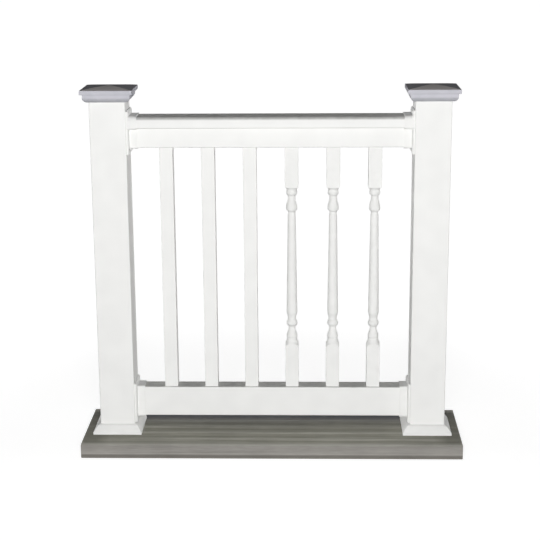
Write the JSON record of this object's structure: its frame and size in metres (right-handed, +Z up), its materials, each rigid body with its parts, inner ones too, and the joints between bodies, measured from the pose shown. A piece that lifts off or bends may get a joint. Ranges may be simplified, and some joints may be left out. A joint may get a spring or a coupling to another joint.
{
  "type": "deck railing section",
  "caption": "White vinyl deck railing section on ribbed deck planks: capped posts with skirts, T-shaped top rail, bottom rail, square and turned balusters in bracketed rails.",
  "frame": {"origin": "on the ground, under the middle of the deck planks", "axes": "+X along the rail towards the turned balusters, +Y away from the viewer across the planks, +Z up"},
  "size_m": [1.0996, 0.3048, 1.0623],
  "materials": {
    "white_vinyl": "smooth satin white extruded vinyl",
    "deck_composite": "matt grey-khaki ribbed composite"
  },
  "bodies": {
    "root": {"front_deck_plank": "deck_composite", "back_deck_plank": "deck_composite", "left_post": "white_vinyl", "right_post": "white_vinyl", "left_post_cap": "white_vinyl", "right_post_cap": "white_vinyl", "left_post_skirt": "white_vinyl", "right_post_skirt": "white_vinyl", "top_rail": "white_vinyl", "bottom_rail": "white_vinyl", "top_left_bracket": "white_vinyl", "top_right_bracket": "white_vinyl", "bottom_left_bracket": "white_vinyl", "bottom_right_bracket": "white_vinyl", "square_baluster_1": "white_vinyl", "square_baluster_2": "white_vinyl", "square_baluster_3": "white_vinyl", "turned_baluster_1": "white_vinyl", "turned_baluster_2": "white_vinyl", "turned_baluster_3": "white_vinyl"}
  },
  "joints": []
}
